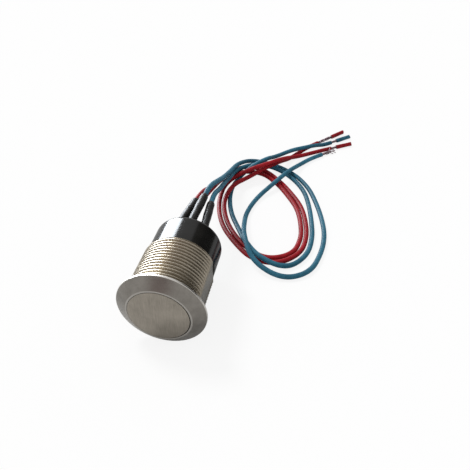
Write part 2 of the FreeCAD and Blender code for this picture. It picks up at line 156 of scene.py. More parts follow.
# Control points of each lead, from the mouth of its sleeve to the end of its insulation
LEAD_ROUTES = {
    "1": [
        (0.0007, 0.0385, 0.0054),
        (0.0009, 0.0433, 0.0055),
        (0.0015, 0.0508, 0.0025),
        (0.0016, 0.0589, -0.0013),
        (0.0021, 0.067, -0.0039),
        (0.0032, 0.0754, -0.0057),
        (0.0071, 0.0834, -0.0088),
        (0.0155, 0.0837, -0.0102),
        (0.0232, 0.0785, -0.0101),
        (0.0284, 0.0717, -0.0102),
        (0.0316, 0.0636, -0.0102),
        (0.0341, 0.0553, -0.0102),
        (0.0357, 0.0468, -0.0102),
        (0.0352, 0.0382, -0.0102),
        (0.0326, 0.0292, -0.0101),
        (0.0251, 0.0254, -0.0102),
        (0.0163, 0.029, -0.0083),
        (0.0125, 0.0366, -0.006),
        (0.0109, 0.0448, -0.0088),
        (0.0101, 0.0533, -0.0102),
        (0.012, 0.0619, -0.0102),
        (0.0163, 0.0693, -0.0089),
        (0.0207, 0.0766, -0.0076),
        (0.0236, 0.0848, -0.0099),
        (0.0279, 0.0915, -0.0102),
        (0.0314, 0.0947, -0.0102),
    ],
    "2": [
        (0.0028, 0.0372, 0.0039),
        (0.0025, 0.0417, 0.004),
        (0.0026, 0.0487, 0.001),
        (0.0022, 0.0567, -0.0021),
        (0.0022, 0.0642, -0.005),
        (0.0029, 0.0724, -0.0066),
        (0.0083, 0.079, -0.0075),
        (0.0161, 0.0812, -0.0097),
        (0.0228, 0.076, -0.0102),
        (0.0273, 0.069, -0.0101),
        (0.0296, 0.0611, -0.0102),
        (0.0311, 0.053, -0.0102),
        (0.0321, 0.0449, -0.0102),
        (0.0313, 0.0365, -0.0102),
        (0.0261, 0.0296, -0.0101),
        (0.0179, 0.0306, -0.008),
        (0.0125, 0.0373, -0.0082),
        (0.0092, 0.0447, -0.01),
        (0.0054, 0.0519, -0.0102),
        (0.0032, 0.0597, -0.0099),
        (0.0026, 0.0684, -0.0102),
        (0.0068, 0.0748, -0.0071),
        (0.0124, 0.0804, -0.0057),
        (0.0147, 0.0874, -0.0089),
        (0.0201, 0.0926, -0.0084),
        (0.0246, 0.0953, -0.0083),
        (0.0284, 0.0986, -0.0087),
        (0.0317, 0.1022, -0.0102),
        (0.0343, 0.1046, -0.0102),
    ],
    "3": [
        (-0.0016, 0.0374, 0.0042),
        (-0.0009, 0.0417, 0.0044),
        (-0.0004, 0.0484, 0.0011),
        (-0.0003, 0.0561, -0.002),
        (-0.0002, 0.0634, -0.005),
        (0.0007, 0.0709, -0.0072),
        (0.0051, 0.0787, -0.0086),
        (0.0122, 0.0795, -0.0101),
        (0.0185, 0.0733, -0.0102),
        (0.023, 0.0671, -0.0102),
        (0.0271, 0.0603, -0.0102),
        (0.0293, 0.0527, -0.0102),
        (0.0304, 0.0447, -0.0102),
        (0.0293, 0.0369, -0.0102),
        (0.023, 0.031, -0.0102),
        (0.0152, 0.0321, -0.0102),
        (0.0093, 0.0381, -0.0102),
        (0.0045, 0.0444, -0.0102),
        (0.0014, 0.0517, -0.0101),
        (-0.0002, 0.0599, -0.0102),
        (0.0004, 0.0676, -0.009),
        (0.0066, 0.072, -0.0063),
        (0.0133, 0.077, -0.0057),
        (0.0181, 0.0829, -0.0065),
        (0.0221, 0.0899, -0.0095),
        (0.0264, 0.0942, -0.0102),
        (0.0305, 0.0973, -0.0102),
        (0.0344, 0.1, -0.0102),
    ],
    "4": [
        (-0.0023, 0.0378, 0.0009),
        (-0.0014, 0.0419, 0.0012),
        (-0.0017, 0.0486, -0.0017),
        (-0.0016, 0.0562, -0.0042),
        (-0.0011, 0.0634, -0.0062),
        (-0.0006, 0.0708, -0.0091),
        (0.0038, 0.0774, -0.0102),
        (0.0118, 0.0774, -0.0101),
        (0.0177, 0.0718, -0.0102),
        (0.022, 0.0656, -0.0102),
        (0.0259, 0.0589, -0.0102),
        (0.0279, 0.0515, -0.0102),
        (0.0288, 0.0437, -0.0102),
        (0.027, 0.036, -0.0102),
        (0.0196, 0.0325, -0.0102),
        (0.0128, 0.0367, -0.0102),
        (0.0077, 0.0427, -0.0102),
        (0.004, 0.0494, -0.0102),
        (0.0018, 0.0569, -0.0092),
        (0.0033, 0.0643, -0.0076),
        (0.007, 0.0711, -0.0088),
        (0.0124, 0.0767, -0.0074),
        (0.0168, 0.0826, -0.0078),
        (0.0199, 0.0894, -0.0102),
        (0.0229, 0.0946, -0.0102),
        (0.0259, 0.0994, -0.0102),
        (0.0292, 0.1033, -0.0102),
    ],
}


# Camera

def make_camera():
    """Camera at the photograph's viewing angle."""
    data = bpy.data.cameras.new("camera")
    data.sensor_width = 36.0
    data.lens = CAMERA_LENS
    data.clip_start = 0.001
    camera = bpy.data.objects.new("camera", data)
    camera.location = CAMERA_PLACE
    camera.rotation_euler = (math.radians(CAMERA_TILT), 0.0, math.radians(CAMERA_TURN))
    bpy.context.collection.objects.link(camera)
    bpy.context.scene.camera = camera


make_camera()


# Mesh helpers

def link(name, data):
    """Object for mesh, curve or lamp data, in the scene."""
    piece = bpy.data.objects.new(name, data)
    bpy.context.collection.objects.link(piece)
    return piece


def smooth(mesh, sharp):
    """Smooth shading, with edges sharper than the given angle kept."""
    for face in mesh.polygons:
        face.use_smooth = True
    mesh.set_sharp_from_angle(angle=math.radians(sharp))


def mesh_piece(name, points, faces, sharp=30):
    """Smooth-shaded piece made of points and faces."""
    mesh = bpy.data.meshes.new(name)
    mesh.from_pydata([tuple(point) for point in points], [], faces)
    mesh.update()
    smooth(mesh, sharp)
    return link(name, mesh)


def ring_faces(rings, columns, ends="open"):
    """Quads between rings of points. The two ends stay open, are capped or are joined."""
    faces = []
    for ring in range(rings if ends == "joined" else rings - 1):
        below = ring * columns
        above = ((ring + 1) % rings) * columns
        for column in range(columns):
            following = (column + 1) % columns
            faces.append((below + column, below + following, above + following, above + column))
    if ends == "capped":
        faces.append(tuple(reversed(range(columns))))
        faces.append(tuple(range((rings - 1) * columns, rings * columns)))
    return faces


def ring_angles(columns):
    """Even steps once round a ring."""
    return [math.tau * column / columns for column in range(columns)]


def about_axis(radius, angle, y):
    """Point at a radius and angle round the button's axis."""
    return Vector((radius * math.cos(angle), y, radius * math.sin(angle)))


def across(direction):
    """Two unit vectors square to a direction and to each other."""
    helper = Vector((0, 0, 1)) if abs(direction.z) < 0.9 else Vector((1, 0, 0))
    side = direction.cross(helper).normalized()
    return side, direction.cross(side).normalized()


def spoke(side, up, angle):
    """Unit vector at an angle between two vectors that are square to each other."""
    return side * math.cos(angle) + up * math.sin(angle)


def tube(path, radius, sides):
    """Points and faces of a round bar along a path, which twists as little as it can."""
    points = []
    side = None
    for index, point in enumerate(path):
        before = path[max(index - 1, 0)]
        after = path[min(index + 1, len(path) - 1)]
        direction = (after - before).normalized()
        if side is None:
            side = across(direction)[0]
        side = (side - direction * side.dot(direction)).normalized()
        up = direction.cross(side)
        for angle in ring_angles(sides):
            points.append(point + spoke(side, up, angle) * radius)
    return points, ring_faces(len(path), sides, "capped")


# Finishes

class Signal:
    """A value in a material. An expression on it adds the Math nodes that work it out."""

    def __init__(self, tree, socket):
        self.tree = tree
        self.socket = socket

    def worked(self, operation, *values):
        inputs = dict(enumerate((self,) + values))
        return self.tree.node("ShaderNodeMath", {"operation": operation}, inputs).out()

    def __add__(self, other):
        return self.worked("ADD", other)

    def __radd__(self, other):
        return self.worked("ADD", other)

    def __mul__(self, other):
        return self.worked("MULTIPLY", other)

    def __rmul__(self, other):
        return self.worked("MULTIPLY", other)

    def __sub__(self, other):
        return self.worked("SUBTRACT", other)

    def __rsub__(self, other):
        return self.worked("MULTIPLY_ADD", -1.0, other)

    def root(self):
        return self.worked("SQRT")

    def between(self, start, end):
        """0 up to the start, 1 from the end on and a straight slope between. Either may be higher."""
        inputs = {"Value": self, "From Min": start, "From Max": end}
        return self.tree.node("ShaderNodeMapRange", {"clamp": True}, inputs).out("Result")


class Made:
    """A node of a tree, with its outputs as values."""

    def __init__(self, tree, node):
        self.tree = tree
        self.node = node

    def out(self, socket=0):
        return Signal(self.tree, self.node.outputs[socket])


class Tree:
    """A node tree that gets its nodes and links in one way."""

    def __init__(self, owner):
        owner.use_nodes = True
        self.tree = owner.node_tree

    def named(self, name):
        """A node that the tree starts with."""
        return Made(self, self.tree.nodes[name])

    def feed(self, made, inputs):
        """Sets or links a node's sockets, by name or by place."""
        for key, value in inputs.items():
            if isinstance(value, Signal):
                self.tree.links.new(value.socket, made.node.inputs[key])
            else:
                made.node.inputs[key].default_value = value

    def node(self, kind, settings=None, inputs=None):
        """A node of any kind: its settings first, then the values or links of its sockets."""
        node = self.tree.nodes.new(kind)
        for key, value in (settings or {}).items():
            setattr(node, key, value)
        made = Made(self, node)
        self.feed(made, inputs or {})
        return made


class Finish(Tree):
    """A procedural material with one Principled surface, whose plain sockets are given by name."""

    def __init__(self, name, plain):
        self.material = bpy.data.materials.new(name)
        super().__init__(self.material)
        self.surface = self.named("Principled BSDF")
        self.feed(self.surface, plain)
        self.place = self.node("ShaderNodeTexCoord").out("Object")

    def axes(self):
        """The three coordinates of the place in the part's frame, in metres."""
        parts = self.node("ShaderNodeSeparateXYZ", None, {0: self.place})
        return parts.out("X"), parts.out("Y"), parts.out("Z")

    def noise(self, scale, detail=3.0, roughness=0.5, place=None):
        inputs = {"Scale": scale, "Detail": detail, "Roughness": roughness}
        inputs["Vector"] = place or self.place
        return self.node("ShaderNodeTexNoise", None, inputs).out("Fac")

    def lines(self, along, scale):
        """Noise that changes along one value only, as turned lines do."""
        inputs = {"W": along, "Scale": scale, "Detail": 2.0}
        return self.node("ShaderNodeTexNoise", {"noise_dimensions": "1D"}, inputs).out("Fac")

    def stretched(self, x, y, z):
        """The place, scaled on its own along each axis."""
        settings = {"operation": "MULTIPLY"}
        inputs = {0: self.place, 1: (x, y, z)}
        return self.node("ShaderNodeVectorMath", settings, inputs).out("Vector")

    def mixed(self, share, first, second):
        """A colour between two colours."""
        settings = {"data_type": "RGBA", "clamp_factor": True}
        inputs = {0: share, 6: colour(first), 7: colour(second)}
        return self.node("ShaderNodeMix", settings, inputs).out(2)

    def bump(self, height, distance, strength=1.0):
        inputs = {"Height": height, "Distance": distance, "Strength": strength}
        return self.node("ShaderNodeBump", None, inputs).out("Normal")

    def varied(self, tint, roughness, relief):
        """The material, with what varies over its surface linked."""
        self.feed(self.surface, {"Base Color": tint, "Roughness": roughness, "Normal": relief})
        return self.material


def colour(value):
    """Four numbers from three, and links as they are."""
    return value if isinstance(value, Signal) else (*value, 1.0)


def turned_steel():
    """Housing: finely turned bevel, painted highlights on the land and rim, painted shade in the
    bore, and a warmer thread with painted shade in its roots.
    """
    steel = Finish("turned_steel", {"Metallic": 1.0})
    x, y, z = steel.axes()
    radius = (x * x + z * z).root()
    lathe = steel.lines(radius + y * 0.6, 26000.0)
    broad = steel.lines(radius - y * 0.5, 5200.0)
    cloud = steel.noise(420.0, 4.0, 0.55)
    grain = steel.noise(5200.0, 2.0)
    on_barrel = y.between(0.0001, 0.0004)
    on_crest = radius.between(0.0089, 0.0094625)
    on_flat = x.between(FLAT_AT - 0.00006, FLAT_AT - 0.00001)
    painted_rim_highlight = radius.between(FLANGE_RADIUS - 0.00012, FLANGE_RADIUS - 0.00004)
    past_bore = radius.between(CAP_BORE, CAP_BORE + 0.00008)
    painted_land_highlight = y.between(FLANGE_FACE + 0.00007, FLANGE_FACE + 0.00003) * past_bore
    shade_behind_face = y.between(FLANGE_FACE + 0.00008, FLANGE_FACE + 0.00025)
    shaded_bore = (1.0 - radius.between(CAP_BORE + 0.00002, CAP_BORE + 0.00008)) * shade_behind_face
    bevel = steel.mixed(cloud.between(0.3, 0.72), (0.152, 0.141, 0.125), (0.215, 0.201, 0.180))
    crest = steel.mixed(cloud.between(0.3, 0.7), (0.25, 0.215, 0.165), (0.35, 0.31, 0.25))
    # Painted shade: the thread's roots are darker and browner than its crests.
    thread = steel.mixed(on_crest, (0.20, 0.17, 0.12), crest)
    barrel = steel.mixed(on_flat, thread, (0.13, 0.12, 0.10))
    # Painted shade: the bore behind the flange face is near-black.
    body = steel.mixed(shaded_bore, steel.mixed(on_barrel, bevel, barrel), (0.03, 0.027, 0.024))
    # Painted highlight: a brighter ring on the land round the cap bore.
    edges = steel.mixed(painted_land_highlight, body, (0.32, 0.305, 0.28))
    # Painted highlight: the flange's rim is much brighter than the bevel.
    with_rim_highlight = steel.mixed(painted_rim_highlight, edges, (0.50, 0.48, 0.45))
    return steel.varied(
        steel.mixed(lathe.between(0.35, 0.7) * 0.2, with_rim_highlight, (0.37, 0.35, 0.32)),
        0.24 + lathe * 0.12 + broad * 0.06 + grain * 0.06,
        steel.bump(lathe * 0.6 + broad * 0.4 + grain * 0.25, 0.0000035),
    )


def brushed_cap():
    """Cap: face brushed in one direction, and painted shade on its side."""
    steel = Finish("brushed_cap", {"Metallic": 1.0})
    strokes = steel.noise(1.0, 4.0, 0.6, steel.stretched(9000.0, 9000.0, 420.0))
    wide = steel.noise(1.0, 2.0, 0.5, steel.stretched(1500.0, 1500.0, 160.0))
    cloud = steel.noise(260.0, 3.0)
    shade_behind_face = steel.axes()[1].between(CAP_FRONT + 0.00014, CAP_FRONT + 0.00025)
    face = steel.mixed(cloud.between(0.3, 0.7), (0.207, 0.187, 0.156), (0.279, 0.252, 0.212))
    # Painted shade: the cap's side behind its face is near-black.
    body = steel.mixed(shade_behind_face, face, (0.03, 0.027, 0.024))
    return steel.varied(
        steel.mixed(strokes.between(0.42, 0.66) * 0.35, body, (0.396, 0.358, 0.307)),
        0.27 + strokes * 0.14 + wide * 0.05,
        steel.bump(strokes * 0.7 + wide * 0.3, 0.0000045),
    )


def bright_metal(name, light, dark, roughness):
    """Drawn or stamped metal with a fine grain and slight stains."""
    metal = Finish(name, {"Metallic": 1.0})
    stain = metal.noise(900.0, 4.0)
    fine = metal.noise(6000.0, 3.0, 0.6)
    return metal.varied(
        metal.mixed(stain.between(0.35, 0.7), light, dark),
        roughness + fine * 0.16,
        metal.bump(fine, 0.000003),
    )


def moulded_black():
    """Base: black glass-filled plastic with a fine spark-eroded grain and a slight polish."""
    plain = {"Specular IOR Level": 0.0, "Coat Weight": 0.5, "Coat Roughness": 0.16}
    plastic = Finish("moulded_black", plain)
    grain = plastic.noise(3800.0, 4.0, 0.65)
    flow = plastic.noise(240.0, 3.0)
    dust = plastic.noise(1500.0, 5.0, 0.7)
    tint = plastic.mixed(flow.between(0.35, 0.7), (0.0070, 0.0068, 0.0065), (0.0120, 0.0115, 0.0110))
    return plastic.varied(
        plastic.mixed(dust.between(0.62, 0.85) * 0.14, tint, (0.05, 0.047, 0.043)),
        0.36 + grain * 0.18 + flow * 0.06,
        plastic.bump(grain, 0.000008, 0.6),
    )


def potting_resin():
    """Cast resin on the base's rear, slightly uneven and warm in tone."""
    resin = Finish("potting_resin", {"Coat Weight": 0.3, "Coat Roughness": 0.12})
    swell = resin.noise(420.0, 3.0)
    specks = resin.noise(3000.0, 4.0, 0.7)
    tint = resin.mixed(swell.between(0.3, 0.7), (0.022, 0.020, 0.016), (0.045, 0.040, 0.030))
    return resin.varied(
        resin.mixed(specks.between(0.66, 0.85) * 0.3, tint, (0.16, 0.15, 0.11)),
        0.18 + swell * 0.22,
        resin.bump(swell * 0.8 + specks * 0.2, 0.00006, 0.5),
    )


def shrunk_sleeve():
    """Sleeve: satin black shrink tubing with long draw lines."""
    sleeve = Finish("shrunk_sleeve", {"Specular IOR Level": 0.16})
    fine = sleeve.noise(4200.0, 3.0)
    creases = sleeve.noise(1.0, 3.0, 0.6, sleeve.stretched(2600.0, 320.0, 2600.0))
    return sleeve.varied(
        sleeve.mixed(creases.between(0.35, 0.7), (0.005, 0.005, 0.0045), (0.013, 0.012, 0.011)),
        0.34 + creases * 0.2 + fine * 0.08,
        sleeve.bump(creases * 0.7 + fine * 0.3, 0.00002, 0.8),
    )


def lead_plastic(name, light, dark, dusty):
    """Lead insulation: extruded plastic with a soft sheen, an uneven tone and handling marks."""
    skin = Finish(name, {"Specular IOR Level": 0.08})
    tone = skin.noise(70.0, 3.0)
    cloud = skin.noise(700.0, 4.0, 0.6)
    fine = skin.noise(5000.0, 3.0)
    mark = skin.noise(1900.0, 5.0, 0.7)
    body = skin.mixed((tone * 0.6 + cloud * 0.4).between(0.36, 0.64), dark, light)
    return skin.varied(
        skin.mixed(mark.between(0.62, 0.8) * 0.22, body, dusty),
        0.44 + cloud * 0.18,
        skin.bump(cloud * 0.7 + fine * 0.3, 0.000009, 0.6),
    )


def soft_rubber():
    """Sealing ring: matt black rubber."""
    rubber = Finish("soft_rubber", {"Specular IOR Level": 0.35})
    bloom = rubber.noise(1400.0, 4.0)
    return rubber.varied(
        rubber.mixed(bloom.between(0.4, 0.75), (0.012, 0.012, 0.012), (0.03, 0.03, 0.029)),
        0.62 + bloom * 0.2,
        rubber.bump(bloom, 0.00001),
    )


FINISHES = {
    "turned_steel": turned_steel(),
    "brushed_cap": brushed_cap(),
    "moulded_black": moulded_black(),
    "resin": potting_resin(),
    "sleeve": shrunk_sleeve(),
    "rubber": soft_rubber(),
}

# Light and dark tone, and roughness
METALS = {
    "spring_steel": ((0.50, 0.50, 0.49), (0.36, 0.35, 0.34), 0.22),
    "contact_brass": ((0.66, 0.49, 0.24), (0.52, 0.36, 0.16), 0.24),
    "tinned_brass": ((0.62, 0.60, 0.55), (0.45, 0.43, 0.38), 0.28),
    "strands": ((0.34, 0.26, 0.28), (0.16, 0.10, 0.12), 0.34),
}
for name, look in METALS.items():
    FINISHES[name] = bright_metal(name, *look)

# Light, dark and dusty tone
INSULATION = {
    "blue": ((0.0430, 0.174, 0.256), (0.0205, 0.091, 0.138), (0.12, 0.24, 0.31)),
    "red": ((0.375, 0.0150, 0.0220), (0.190, 0.0092, 0.0138), (0.40, 0.07, 0.08)),
}
for name, look in INSULATION.items():
    FINISHES[name] = lead_plastic(f"{name}_insulation", *look)

NODE_FINISHES = {
    "cap_ring": "rubber",
    "plunger": "moulded_black",
    "guide_plate": "moulded_black",
    "contact_bridge_1": "contact_brass",
    "contact_bridge_2": "contact_brass",
    "contact_leaf_1": "spring_steel",
    "contact_leaf_2": "spring_steel",
    "base": "moulded_black",
    "terminal_1": "tinned_brass",
    "terminal_2": "tinned_brass",
    "terminal_3": "tinned_brass",
    "terminal_4": "tinned_brass",
}


def paint(piece, finish):
    """Gives a piece or a node its finish."""
    if not piece.data.materials:
        piece.data.materials.append(FINISHES[finish])
    for slot in piece.material_slots:
        slot.material = FINISHES[finish]


def settle(piece, finish, nodes=(), body=BODY):
    """Paints a piece, lets it ride on a body and stand for its nodes."""
    paint(piece, finish)
    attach(piece, body)
    if nodes:
        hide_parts(*nodes)


for node, finish in NODE_FINISHES.items():
    paint(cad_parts[node], finish)


# Leads and their ends

def lead_curve(lead):
    """The lead's insulation, a round curve along its route."""
    route = LEAD_ROUTES[lead]
    curve = bpy.data.curves.new(f"insulation_{lead}", "CURVE")
    curve.dimensions = "3D"
    spline = curve.splines.new("NURBS")
    spline.points.add(len(route) - 1)
    for point, place in zip(spline.points, route):
        point.co = (*place, 1.0)
    spline.order_u = 3
    spline.use_endpoint_u = True
    spline.resolution_u = 10
    curve.bevel_depth = LEAD_RADIUS
    curve.bevel_resolution = 5
    curve.use_fill_caps = True
    return link(f"insulation_{lead}", curve)


def strand_paths(start, direction, length, lead):
    """Paths of strands that twist round a middle one, loose midway or splayed at the far end."""
    side, up = across(direction)
    chance = random.Random(int(lead))
    splay = STRAND_SPLAY[lead]
    around = STRANDS - 1
    paths = []
    for strand in range(STRANDS):
        angle = math.tau * strand / around + chance.uniform(-0.1, 0.1)
        reach = STRAND_REACH if strand < around else 0.0
        drift = Vector([chance.uniform(-1, 1) for _ in range(3)]) * splay
        slack = STRAND_LOOSENESS[lead] * (0.6 + 0.4 * math.sin(strand * 2.4))
        path = []
        for step in range(STRAND_STEPS + 1):
            share = step / STRAND_STEPS
            turn = angle + math.tau * share * length / STRAND_LAY
            wave = 0.00003 * math.sin(share * 17 + strand * 2.1)
            bulge = slack * math.sin(math.pi * min(share / 0.55, 1.0))
            out = reach + wave + bulge + splay * 0.35 * share * share
            centre = start + direction * (length * share) + drift * share * share
            path.append(centre + spoke(side, up, turn) * out)
        paths.append(path)
    return paths


def make_strands(lead, end, direction):
    """The bare strands, from inside the insulation's end into the slug if there is one."""
    start = end - direction * STRAND_TUCK
    length = STRAND_TUCK + BARE_LENGTHS[lead]
    if lead in SLUGGED:
        length += SLUG_LENGTH - STRAND_INSET
    points = []
    faces = []
    for path in strand_paths(start, direction, length, lead):
        strand_points, strand_faces = tube(path, STRAND_RADIUS, STRAND_SIDES)
        first = len(points)
        points += strand_points
        faces += [tuple(first + corner for corner in face) for face in strand_faces]
    strands = mesh_piece(f"bare_strands_{lead}", points, faces, 50)
    settle(strands, "strands", [f"strands_{lead}"])
    return strands


def make_slug(lead, start, direction):
    """Slug of cut insulation: a hollow tube with uneven cut ends, slightly dented."""
    side, up = across(direction)
    chance = random.Random(int(lead) + 20)
    lean = [chance.uniform(0, math.tau) for _ in range(4)]
    outside = [(share, LEAD_RADIUS) for share in (0.03, 0.1, 0.25, 0.4, 0.55, 0.7, 0.82, 0.92, 0.97)]
    inside = [(share, SLUG_BORE) for share in (1.0, 0.9, 0.1, 0.0)]
    edge = LEAD_RADIUS * 0.965
    sections = [(0.0, edge)] + outside + [(1.0, edge)] + inside
    points = []
    for share, radius in sections:
        for angle in ring_angles(SLUG_COLUMNS):
            cut = 0.00016 * math.sin(angle + lean[0]) + 0.00006 * math.sin(3 * angle + lean[1])
            along = SLUG_GAP + share * (SLUG_LENGTH - 2 * SLUG_GAP) + cut * abs(2 * share - 1) ** 6
            dent = 0.000022 * math.sin(2 * angle + lean[2]) * math.sin(math.tau * share + lean[3])
            reach = radius + (dent if radius > SLUG_BORE else 0.0)
            points.append(start + direction * along + spoke(side, up, angle) * reach)
    faces = ring_faces(len(sections), SLUG_COLUMNS, "joined")
    slug = mesh_piece(f"cut_slug_{lead}", points, faces, 40)
    settle(slug, LEAD_FINISHES[lead], [f"slug_{lead}"])
    return slug


def make_lead(lead):
    """One lead with its bare strands and the slug left on them."""
    insulation = lead_curve(lead)
    settle(insulation, LEAD_FINISHES[lead], [f"lead_{lead}"])
    end = Vector(LEAD_ROUTES[lead][-1])
    direction = (end - Vector(LEAD_ROUTES[lead][-2])).normalized()
    on_lead = [make_strands(lead, end, direction)]
    if lead in SLUGGED:
        on_lead.append(make_slug(lead, end + direction * BARE_LENGTHS[lead], direction))


for lead in LEAD_ROUTES:
    make_lead(lead)


# Shrink sleeves

def sleeve_reach(lead, share, angle):
    """A sleeve's outer radius: drawn in at both ends, swollen and flattened by the solder joint."""
    ends = min(share, 1 - share)
    drawn = 1.0 - 0.16 * max(0.0, 1 - ends / 0.07) ** 2
    swell = 0.035 * math.sin(math.pi * share * 3.1 + int(lead)) * math.sin(math.pi * share)
    flat = 0.03 * math.cos(2 * angle + int(lead)) * max(0.0, 1 - share / 0.45)
    ripple = 0.012 * math.sin(angle * 3 + share * 23 + int(lead) * 1.7)
    return SLEEVE_RADIUS * drawn * (0.955 + swell + flat + ripple)


def make_sleeve(lead):
    """Shrink sleeve over a terminal's solder joint, closing on the lead at its mouth."""
    root = about_axis(PIN_CIRCLE, math.radians(PIN_ANGLES[lead]), BASE_REAR)
    mouth = Vector(LEAD_ROUTES[lead][0])
    direction = (mouth - root).normalized()
    start = root + direction * SLEEVE_GAP
    side, up = across(direction)
    outside = [(step / SLEEVE_STEPS, 1.0) for step in range(SLEEVE_STEPS + 1)]
    inside = [(1.0, 0.82), (0.985, 0.72), (0.93, 0.66), (0.07, 0.60), (0.0, 0.62), (0.0, 0.8)]
    points = []
    for share, part in outside + inside:
        for angle in ring_angles(SLEEVE_COLUMNS):
            reach = sleeve_reach(lead, share, angle) * part
            points.append(start.lerp(mouth, share) + spoke(side, up, angle) * reach)
    faces = ring_faces(len(outside + inside), SLEEVE_COLUMNS, "joined")
    sleeve = mesh_piece(f"shrunk_sleeve_{lead}", points, faces, 60)
    settle(sleeve, "sleeve", [f"sleeve_{lead}"])


for lead in LEAD_ROUTES:
    make_sleeve(lead)


# Housing

def rounded_profile(corners, arc_steps=4):
    """Corners as radius, y and rounding, turned into points with small arcs."""
    points = []
    for index, (radius, y, rounding) in enumerate(corners):
        corner = Vector((radius, y))
        if rounding == 0:
            points.append((radius, y))
            continue
        back = (Vector(corners[index - 1][:2]) - corner).normalized()
        on = (Vector(corners[index + 1][:2]) - corner).normalized()
        first = corner + back * rounding
        last = corner + on * rounding
        for step in range(arc_steps + 1):
            share = step / arc_steps
            bent = first.lerp(corner, share).lerp(corner.lerp(last, share), share)
            points.append((bent.x, bent.y))
    return points


def thread_radius(phase, y):
    """Radius of the screw-cut thread: sharp flanks, a narrow crest and a rounded root."""
    from_root = abs(2 * (phase % 1.0) - 1)
    rise = min(max((from_root - HALF_ROOT) / FLANK, 0.0), 1.0)
    eased = rise * rise * (3 - 2 * rise)
    started = min(max((y - THREAD_START) / THREAD_RUN_IN, 0.0), 1.0)
    cut = THREAD_CREST - THREAD_DEPTH * (1 - (eased * 0.35 + rise * 0.65) * started)
    chamfer = THREAD_CREST - max(0.0, y - (BARREL_END - BARREL_CHAMFER))
    return min(cut, chamfer)


def thread_rows():
    """Radius and y round each row. A row falls back by one pitch in its turn round the barrel."""
    turns = (THREAD_END - THREAD_START) / THREAD_PITCH + 1
    rows = []
    for row in range(math.ceil(turns * STEPS_PER_PITCH) + 1):
        line = []
        for column in range(HOUSING_COLUMNS):
            share = row / STEPS_PER_PITCH - column / HOUSING_COLUMNS
            y = THREAD_START + share * THREAD_PITCH
            clamped = min(max(y, THREAD_START), THREAD_END)
            phase = row / STEPS_PER_PITCH + (clamped - y) / THREAD_PITCH
            line.append((thread_radius(phase, clamped), clamped))
        rows.append(line)
    return rows


def keyed(radius, angle, y):
    """A radius cut back to the barrel's flat, which faces +X."""
    if y > 0 and math.cos(angle) > 0.5:
        return min(radius, FLAT_AT / math.cos(angle))
    return radius


def make_housing():
    """Flange, bevel, land, cap bore, threaded barrel with its flat, and the bore behind."""
    root = THREAD_CREST - THREAD_DEPTH
    front = rounded_profile([
        (BARREL_BORE, SHOULDER, 0.0),
        (CAP_BORE, SHOULDER, 0.00005),
        (CAP_BORE, FLANGE_FACE, 0.00008),
        (LAND_OUTER, FLANGE_FACE, 0.00012),
        (FLANGE_RADIUS, BEVEL_END, 0.00014),
        (FLANGE_RADIUS, 0.0, 0.00008),
        (root, 0.0, 0.00006),
        (root, THREAD_START, 0.0),
    ])
    rear = rounded_profile([
        (THREAD_CREST - BARREL_CHAMFER, BARREL_END - 0.00004, 0.0),
        (THREAD_CREST - BARREL_CHAMFER - 0.00006, BARREL_END, 0.00004),
        (BARREL_BORE, BARREL_END, 0.00008),
        (BARREL_BORE, BARREL_END - 0.0005, 0.0),
        (BARREL_BORE, SHOULDER + 0.0002, 0.0),
    ])
    thread = thread_rows()
    rows = [[place] * HOUSING_COLUMNS for place in front]
    rows += thread
    rows += [[place] * HOUSING_COLUMNS for place in rear]
    first_thread = len(front)
    last_thread = first_thread + len(thread) - 1
    housing = bmesh.new()
    grid = []
    for row in rows:
        verts = []
        for angle, (radius, y) in zip(ring_angles(HOUSING_COLUMNS), row):
            verts.append(housing.verts.new(about_axis(keyed(radius, angle, y), angle, y)))
        grid.append(verts)
    for row, verts in enumerate(grid):
        next_row = (row + 1) % len(grid)
        for column in range(HOUSING_COLUMNS):
            following = (column + 1) % HOUSING_COLUMNS
            corners = [verts[column], grid[next_row][column]]
            if following == 0 and first_thread <= row < last_thread:
                corners.append(grid[max(next_row - STEPS_PER_PITCH, first_thread)][0])
                corners.append(grid[max(row - STEPS_PER_PITCH, first_thread)][0])
            else:
                corners += [grid[next_row][following], verts[following]]
            corners = list(dict.fromkeys(corners))
            if len(corners) > 2:
                housing.faces.new(corners)
    bmesh.ops.remove_doubles(housing, verts=housing.verts, dist=0.000002)
    bmesh.ops.dissolve_degenerate(housing, edges=housing.edges, dist=0.0000005)
    bmesh.ops.recalc_face_normals(housing, faces=housing.faces)
    mesh = bpy.data.meshes.new("turned_housing")
    housing.to_mesh(mesh)
    housing.free()
    smooth(mesh, 38)
    settle(link("turned_housing", mesh), "turned_steel", ["housing"])


make_housing()


# Cap

def make_cap():
    """Flush cap with a rounded edge, seal groove, collar and stem hole, built from back to front."""
    profile = rounded_profile([
        (0.0, CAP_FRONT, 0.0),
        (CAP_RADIUS, CAP_FRONT, 0.00016),
        (CAP_RADIUS, GROOVE_FRONT, 0.00004),
        (GROOVE_FLOOR, GROOVE_FRONT, 0.00004),
        (GROOVE_FLOOR, GROOVE_BACK, 0.00004),
        (CAP_RADIUS, GROOVE_BACK, 0.00004),
        (CAP_RADIUS, SHOULDER, 0.00004),
        (CAP_COLLAR, SHOULDER, 0.00006),
        (CAP_COLLAR, CAP_BACK, 0.0001),
        (STEM_RADIUS, CAP_BACK, 0.0001),
        (STEM_RADIUS, STEM_HOLE_END, 0.00004),
        (0.0, STEM_HOLE_END, 0.0),
    ])
    rings = profile[-2:0:-1]
    points = []
    for radius, y in rings:
        for angle in ring_angles(CAP_COLUMNS):
            points.append(about_axis(radius, angle, y) + Vector(CAP_PLAY))
    cap = mesh_piece("flush_cap", points, ring_faces(len(rings), CAP_COLUMNS, "capped"), 30)
    settle(cap, "brushed_cap", ["button_cap"], "button")


make_cap()


# Return spring

